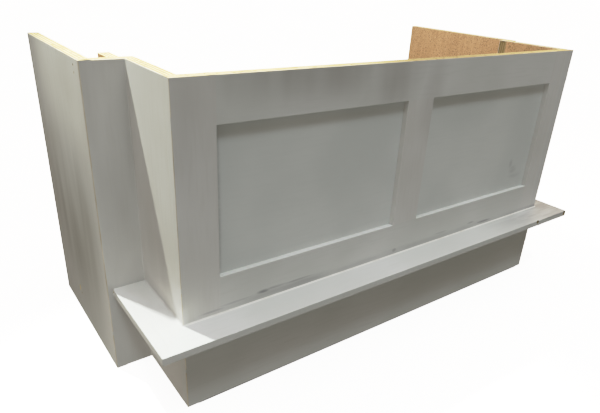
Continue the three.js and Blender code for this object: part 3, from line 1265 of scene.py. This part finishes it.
@dataclass
class InnerWork(Boards):
    """Wall rails, corner battens, cleats and the shelf."""

    stick_arris: float = 1.0 * MM
    shelf_arris: float = 0.6 * MM
    segments: int = 2

    def boards(self) -> list[Board]:
        """Lists the sticks and the shelf.

        Returns:
            The boards.
        """
        look = {"arris": self.stick_arris, "segments": self.segments}
        sticks = [name for name in sorted(frame["nodes"]) if self.is_stick(name)]
        boards = [Board(name, 1, (), "pine", **look) for name in sticks]
        look["arris"] = self.shelf_arris
        boards.append(Board("insert_shelf", 2, (), "raw_plywood", **look))
        return boards

    def is_stick(self, name: str) -> bool:
        """Whether a node is one of the pine sticks inside."""
        sticks = name.startswith(("wall_rail", "corner_block", "shelf_cleat"))
        return sticks and "screw" not in name


@dataclass
class Screws:
    """Countersunk wood screws: a flat head with a cross recess, a cone under it and a plain shank."""

    head_radius: float = 4.0 * MM
    head_edge: float = 0.3 * MM
    cone_height: float = 2.5 * MM
    shank_radius: float = 1.9 * MM
    recess_radius: float = 2.1 * MM
    recess_arm: float = 0.55 * MM
    recess_depth: float = 1.5 * MM
    recess_taper: float = 0.45
    point_length: float = 4.0 * MM
    point_taper: float = 0.12
    sides: int = 24
    only_head_beyond: float = 3.5 * MM

    def model(self, length: float) -> Piece:
        """Models one screw that points down from the origin.

        Args:
            length: From the top of the head to the point.

        Returns:
            The screw, at the origin.
        """
        deselect_all()
        bpy.ops.mesh.primitive_cylinder_add(
            vertices=self.sides,
            radius=self.head_radius,
            depth=self.head_edge,
            location=(0, 0, -self.head_edge / 2),
        )
        screw = bpy.context.object
        bpy.ops.object.mode_set(mode="EDIT")
        bpy.ops.mesh.select_mode(type="FACE")
        self.pick_end(screw, -1)
        self.draw_down(self.cone_height, self.shank_radius / self.head_radius)
        self.draw_down(length - self.cone_height - self.point_length, 1.0)
        self.draw_down(self.point_length, self.point_taper)
        self.pick_end(screw, 1)
        bpy.ops.mesh.inset(thickness=self.head_radius - self.recess_radius, depth=0)
        bpy.ops.mesh.inset(thickness=self.recess_radius * self.recess_taper, depth=0)
        bpy.ops.transform.translate(value=(0, 0, -self.recess_depth))
        bpy.ops.object.mode_set(mode="OBJECT")
        self.cut_arms(screw)
        smooth(screw, 35)
        return screw

    def pick_end(self, screw: Piece, side: int) -> None:
        """Selects the end face that points up or down.

        Args:
            screw: Screw being modelled.
            side: 1 for the upper end, -1 for the lower.
        """
        mesh = bmesh.from_edit_mesh(screw.data)
        ends = [face for face in mesh.faces if face.normal.z * side > 0.9]
        last = max(ends, key=lambda face: face.calc_center_median().z * side)
        for face in mesh.faces:
            face.select_set(face is last)
        bmesh.update_edit_mesh(screw.data)

    def draw_down(self, depth: float, taper: float) -> None:
        """Extrudes the chosen end down and tapers it."""
        bpy.ops.mesh.extrude_region_move(TRANSFORM_OT_translate={"value": (0, 0, -depth)})
        bpy.ops.transform.resize(value=(taper, taper, 1))

    def cut_arms(self, screw: Piece) -> None:
        """Cuts the four arms of the cross recess into the head.

        Args:
            screw: Screw being modelled.
        """
        for turned in (False, True):
            deselect_all()
            bpy.ops.mesh.primitive_cube_add(size=1, location=(0, 0, 0))
            arm = bpy.context.object
            across = (self.recess_radius * 2, self.recess_arm * 2)
            arm.scale = (across[turned], across[not turned], self.recess_depth * 2)
            bpy.ops.object.transform_apply(location=False, rotation=False, scale=True)
            carve(screw, arm)

    def build(self, finishes: Finishes) -> None:
        """Sets a screw in the place of each screw node.

        Args:
            finishes: Materials to dress them with.
        """
        masters: dict[int, Piece] = {}
        for name in sorted(n for n in frame["nodes"] if "screw" in n):
            axis, towards, length = self.lie_of(name)
            key = round(length / MM)
            if key not in masters:
                masters[key] = self.model(length)
                masters[key].data.materials.append(finishes.zinc)
            self.place(masters[key], name, axis, towards)
        for master in masters.values():
            bpy.data.objects.remove(master)

    def lie_of(self, name: str) -> tuple[int, int, float]:
        """How a screw node lies.

        Args:
            name: The screw's node.

        Returns:
            Its axis, the sign of the direction from point to head, and its length.
        """
        low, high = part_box(name)
        size = high - low
        axis = max(range(3), key=lambda i: size[i])
        middle = (low + high) / 2
        wide = []
        for vertex in frame["nodes"][name].data.vertices:
            across = vertex.co - middle
            across[axis] = 0
            if across.length > self.only_head_beyond:
                wide.append(vertex.co[axis])
        towards = 1 if sum(wide) / len(wide) > middle[axis] else -1
        return axis, towards, size[axis]

    def place(self, master: Piece, name: str, axis: int, towards: int) -> None:
        """Copies the modelled screw to a node's place.

        Args:
            master: The modelled screw.
            name: The screw node that it stands for.
            axis: Axis along which the node lies.
            towards: Sign of the direction of the head.
        """
        low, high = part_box(name)
        head = (low + high) / 2
        head[axis] = high[axis] if towards > 0 else low[axis]
        direction = Vector((0, 0, 0))
        direction[axis] = towards
        piece = master.copy()
        piece.data = master.data.copy()
        piece.name = f"{name}_detailed"
        bpy.context.scene.collection.objects.link(piece)
        turn = Vector((0, 0, 1)).rotation_difference(direction)
        piece.matrix_world = Matrix.Translation(head) @ turn.to_matrix().to_4x4()
        bpy.context.view_layer.update()
        settle(piece)
        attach(piece, BODY)
        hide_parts(name)
        LOG.info("screw %s", piece.name)


@dataclass(frozen=True)
class Run:
    """One bead to run: its box, the signs of the two directions out of its corner, 0 along it."""

    name: str
    low: Triple
    high: Triple
    free: tuple[int, int, int]


@dataclass
class Beads:
    """Caulk in the painted inner corners and glue that came out along the front battens.

    Each bead bites a little into the boards and stops short of their ends. Its free side's profile
    is hollow under a quarter and full over it.
    """

    caulk: float = 2.2 * MM
    caulk_profile: float = 0.12
    caulk_short: float = 1 * MM
    glue: float = 2.5 * MM
    glue_profile: float = 0.35
    glue_short: float = 5 * MM
    bite: float = 0.05 * MM
    rounded_share: float = 0.96
    segments: int = 6

    def bead(self, run: Run, material: Material, profile: float) -> None:
        """Models one bead in an inner corner.

        Args:
            run: The bead to run.
            material: What it is made of.
            profile: Shape of the free side.
        """
        deselect_all()
        low, high = Vector(run.low), Vector(run.high)
        bpy.ops.mesh.primitive_cube_add(size=1, location=(low + high) / 2)
        piece = bpy.context.object
        piece.name = run.name
        piece.scale = high - low
        settle(piece)
        open_mesh(piece, "DESELECT")
        mesh = bmesh.from_edit_mesh(piece.data)
        outer = [high[i] if run.free[i] > 0 else low[i] for i in range(3)]
        across = [i for i in range(3) if run.free[i]]
        for edge in mesh.edges:
            ends = [vert.co for vert in edge.verts]
            edge.select_set(all(abs(end[i] - outer[i]) < 1e-6 for end in ends for i in across))
        bmesh.update_edit_mesh(piece.data)
        width = min(high[i] - low[i] for i in across)
        bpy.ops.mesh.bevel(
            offset=width * self.rounded_share,
            segments=self.segments,
            profile=profile,
            affect="EDGES",
            clamp_overlap=False,
        )
        bpy.ops.object.mode_set(mode="OBJECT")
        piece.data.materials.append(material)
        smooth(piece, 50)
        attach(piece, BODY)
        LOG.info("bead %s", run.name)

    def build(self, finishes: Finishes) -> None:
        """Runs the caulk and the glue.

        Args:
            finishes: Materials to dress them with.
        """
        for run in self.caulk_runs():
            # Only the front bead takes the whiter caulk, partly a painted highlight along the foot of
            # the box; the other beads take the lacquer.
            material = finishes.caulk if run.name == "caulk_front" else finishes.paint[2]
            self.bead(run, material, self.caulk_profile)
        for run in self.glue_runs():
            self.bead(run, finishes.glue, self.glue_profile)

    def caulk_runs(self) -> list[Run]:
        """Places the caulk round the foot of the box on the ledge and in the corners beside it.

        Returns:
            The beads of caulk.
        """
        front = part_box("front_rail_bottom")[0].y
        under_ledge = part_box("ledge_front")[0].z
        top_of_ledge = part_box("ledge_front")[1].z
        box_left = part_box("box_side_left")[0].x
        box_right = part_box("box_side_right")[1].x
        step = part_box("step_panel_left")[0].y
        rim = CAD_BOUNDS[1][2] - self.caulk_short
        foot = CAD_BOUNDS[0][2] + self.caulk_short
        c = self.caulk
        b = self.bite
        lowest = top_of_ledge - b
        highest = top_of_ledge + c
        start = (box_left - c, front - c, lowest)
        runs = [Run("caulk_front", start, (box_right + c, front + b, highest), (0, -1, 1))]
        corners = []
        for side, x, sign in (("left", box_left, -1), ("right", box_right, 1)):
            near, far = sorted((x - sign * b, x + sign * c))
            start = (near, front, lowest)
            runs.append(Run(f"caulk_foot_{side}", start, (far, step, highest), (sign, 0, 1)))
            free = (sign, -1, 0)
            start = (near, step - c, lowest)
            corners.append(Run(f"caulk_corner_{side}", start, (far, step + b, rim), free))
            end = (far, step + b, under_ledge)
            corners.append(Run(f"caulk_low_corner_{side}", (near, step - c, foot), end, free))
        return runs + corners

    def glue_runs(self) -> list[Run]:
        """Places the glue along the free corner of each front batten.

        Returns:
            The beads of glue.
        """
        runs = []
        for side, free_x in (("left", 1), ("right", -1)):
            low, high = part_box(f"corner_block_front_{side}")
            x = high.x if free_x > 0 else low.x
            near, far = sorted((x - free_x * self.bite, x + free_x * self.glue))
            start = (near, low.y - self.bite, low.z + self.glue_short)
            end = (far, low.y + self.glue, high.z - self.glue_short)
            runs.append(Run(f"glue_corner_block_front_{side}", start, end, (free_x, 1, 0)))
        return runs


# ----------------------------------------
# Studio


class LampKind(Enum):
    """Kinds of lamp: one at an endless distance, one that throws a cone, and a glowing square."""

    SUN = "SUN"
    SPOT = "SPOT"
    PANEL = "AREA"


@dataclass(frozen=True)
class Lamp:
    """A lamp: its place, what it is aimed at, its power, its colour and its other settings.

    A sun's power is in watts per square metre, that of the others in watts.
    """

    name: str
    kind: LampKind
    place: Triple
    target: Triple
    power: float
    colour: str
    settings: dict[str, float]

    def hang(self) -> None:
        """Hangs the lamp and aims it."""
        data = bpy.data.lights.new(self.name, self.kind.value)
        data.energy = self.power
        data.color = linear(self.colour)[:3]
        for key, value in self.settings.items():
            setattr(data, key, value)
        light = bpy.data.objects.new(self.name, data)
        light.location = self.place
        aim = Vector(self.target) - Vector(self.place)
        light.rotation_euler = aim.to_track_quat("-Z", "Y").to_euler()
        light.visible_camera = self.kind is LampKind.SUN
        bpy.context.scene.collection.objects.link(light)
        LOG.info("lamp %s", self.name)


# Where a sun stands makes no difference, only what it is aimed at from there.
HERE = (0.0, 0.0, 0.0)
LAMPS = (
    # A small hard lamp high behind on the left, in line with the photograph's shadow edges.
    Lamp("key", LampKind.SPOT, (-0.7715, 0.544, 2.154), (-0.4495, -0.221, 0.30), 300, "f7fff6",
         {"spot_size": math.radians(30), "spot_blend": 0.85, "shadow_soft_size": 0.03}),
    # Over the open back, for the raw inner face of the right wing.
    Lamp("inner", LampKind.SPOT, (0.0, 0.12, 1.30), (0.51, 0.12, 0.45), 38, "fffaf0",
         {"spot_size": math.radians(60), "spot_blend": 1.0, "shadow_soft_size": 0.1}),
    # Above the camera, for the right edges of the panel openings.
    Lamp("torch", LampKind.SPOT, (-0.30, -0.96, 2.10), (0.05, -0.2, 0.25), 5.0, "d0e2ff",
         {"spot_size": math.radians(75), "spot_blend": 1.0, "shadow_soft_size": 0.14}),
    # Soft light from in front, from below, from overhead and from both sides. The bounce shines up
    # through the floor, which casts no shadow, in place of what a real floor throws back.
    Lamp("front", LampKind.SUN, HERE, (0.5, 1.0, -2.43), 0.94, "ecfbff", {"angle": math.radians(10)}),
    Lamp("bounce", LampKind.SUN, HERE, (0.15, 1.0, 0.3), 0.38, "ecf7ff", {"angle": math.radians(100)}),
    Lamp("overhead", LampKind.SUN, HERE, (0.0, 0.05, -1.0), 1.52, "fcf8ff", {"angle": math.radians(68)}),
    Lamp("right", LampKind.SUN, HERE, (-1.0, -0.4, -0.3), 0.80, "ffe8bc", {"angle": math.radians(60)}),
    Lamp("left", LampKind.SUN, HERE, (1.0, 0.15, -0.05), 0.268, "fff6ec", {"angle": math.radians(60)}),
    # Small and soft high on the left, so that the left faces pale towards their top.
    Lamp("left_panel", LampKind.PANEL, (-0.95, 0.02, 0.80), (-0.5135, 0.0, 0.40), 0.22, "fdfcff",
         {"size": 0.3}),
    # Small and soft low on the left, for the light under the ledge there.
    Lamp("foot", LampKind.PANEL, (-0.78, -0.20, 0.03), (-0.45, -0.12, 0.06), 0.041, "fffefa",
         {"size": 0.25, "spread": math.radians(50)}),
)


@dataclass
class Studio:
    """Camera, lights and floor. The camera stands where the photograph was taken from."""

    eye: Triple = (-0.7059, -0.8405, 0.6547)
    azimuth: float = 37.34
    elevation: float = -25.55
    roll: float = 3.225
    lens: float = 32.11
    sensor_width: float = 36.0
    shift_x: float = -0.0123
    shift_y: float = 0.0323
    fill_above: float = 0.125
    fill_below: float = 0.105
    fill_above_colour: str = "ffe0b0"
    fill_below_colour: str = "ffecc0"
    horizon: float = 0.3
    backdrop: float = 3.0
    floor_size: float = 120.0
    floor_gap: float = 0.3 * MM
    shoulder_end: float = 3.0
    shoulder: tuple[tuple[float, float], ...] = (
        (0.3, 0.3),
        (0.6, 0.6),
        (0.9, 0.75),
        (1.7, 0.91),
        (2.3, 0.965),
    )

    def build(self) -> None:
        """Sets up the whole studio."""
        self.camera()
        for lamp in LAMPS:
            lamp.hang()
        self.surroundings()
        self.floor()
        self.tone()
        LOG.info("studio ready")

    def tone(self) -> None:
        """Gives the picture a plain tone curve with a soft shoulder, as a phone camera does."""
        view = bpy.context.scene.view_settings
        view.view_transform = "Standard"
        view.use_curve_mapping = True
        curves = view.curve_mapping
        curves.white_level = (self.shoulder_end,) * 3
        all_channels = curves.curves[3]
        for scene_value, shown in self.shoulder:
            all_channels.points.new(scene_value / self.shoulder_end, shown)
        curves.update()

    def camera(self) -> None:
        """Stands the camera at the photograph's viewpoint."""
        data = bpy.data.cameras.new("camera")
        data.lens = self.lens
        data.sensor_width = self.sensor_width
        data.shift_x = self.shift_x
        data.shift_y = self.shift_y
        data.clip_start = 0.01
        camera = bpy.data.objects.new("camera", data)
        bpy.context.scene.collection.objects.link(camera)
        turn = Matrix.Rotation(math.radians(-self.azimuth), 4, "Z")
        tilt = Matrix.Rotation(math.radians(90 + self.elevation), 4, "X")
        roll = Matrix.Rotation(math.radians(self.roll), 4, "Z")
        camera.matrix_world = Matrix.Translation(self.eye) @ turn @ tilt @ roll
        bpy.context.scene.camera = camera

    def surroundings(self) -> None:
        """Surroundings that look white and throw a little warm light from every side."""
        world = bpy.data.worlds.new("pale_surroundings")
        world.use_nodes = True
        tree = world.node_tree
        seen = add_node(tree, "ShaderNodeLightPath", {}).outputs["Is Camera Ray"]
        way = add_node(tree, "ShaderNodeTexCoord", {}).outputs["Generated"]
        slope = add_node(tree, "ShaderNodeSeparateXYZ", {}, {"Vector": way}).outputs["Z"]
        climb = {"Value": slope, "From Min": -self.horizon, "From Max": self.horizon}
        share = add_node(tree, "ShaderNodeMapRange", {}, climb).outputs[0]
        fill = climb | {"To Min": self.fill_below, "To Max": self.fill_above}
        thrown = add_node(tree, "ShaderNodeMapRange", {}, fill).outputs[0]
        levels = {"Value": seen, "To Min": thrown, "To Max": self.backdrop}
        level = add_node(tree, "ShaderNodeMapRange", {}, levels).outputs[0]
        below = linear(self.fill_below_colour)
        above = linear(self.fill_above_colour)
        tints = {SHARE: share, UNDER: below, OVER: above}
        tint = add_node(tree, "ShaderNodeMix", COLOURS, tints).outputs[MIXED]
        views = {SHARE: seen, UNDER: tint, OVER: linear("ffffff")}
        shown = add_node(tree, "ShaderNodeMix", COLOURS, views).outputs[MIXED]
        background = tree.nodes["Background"]
        tree.links.new(shown, background.inputs["Color"])
        tree.links.new(level, background.inputs["Strength"])
        bpy.context.scene.world = world

    def floor(self) -> None:
        """Lays the pale floor under the cover. It is seen but throws no light and no shadow."""
        deselect_all()
        height = CAD_BOUNDS[0][2] - self.floor_gap
        bpy.ops.mesh.primitive_plane_add(size=self.floor_size, location=(0, 0, height))
        floor = bpy.context.object
        floor.name = "floor"
        settle(floor)
        floor.data.materials.append(StudioFloor().material())
        floor.visible_diffuse = False
        floor.visible_glossy = False
        floor.visible_shadow = False


def main() -> None:
    """Builds the cover, one sub-assembly after the other, and then the studio."""
    logging.basicConfig(level=logging.INFO, format="%(name)s: %(message)s")
    finishes = Finishes()
    boxes = {name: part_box(name) for name in frame["nodes"] if "screw" not in name}
    for part in (FramedFront(), Ledge(), Carcass(), InnerWork()):
        part.build(finishes, boxes)
    Screws().build(finishes)
    Beads().build(finishes)
    Studio().build()


if __name__ == "__main__":
    main()
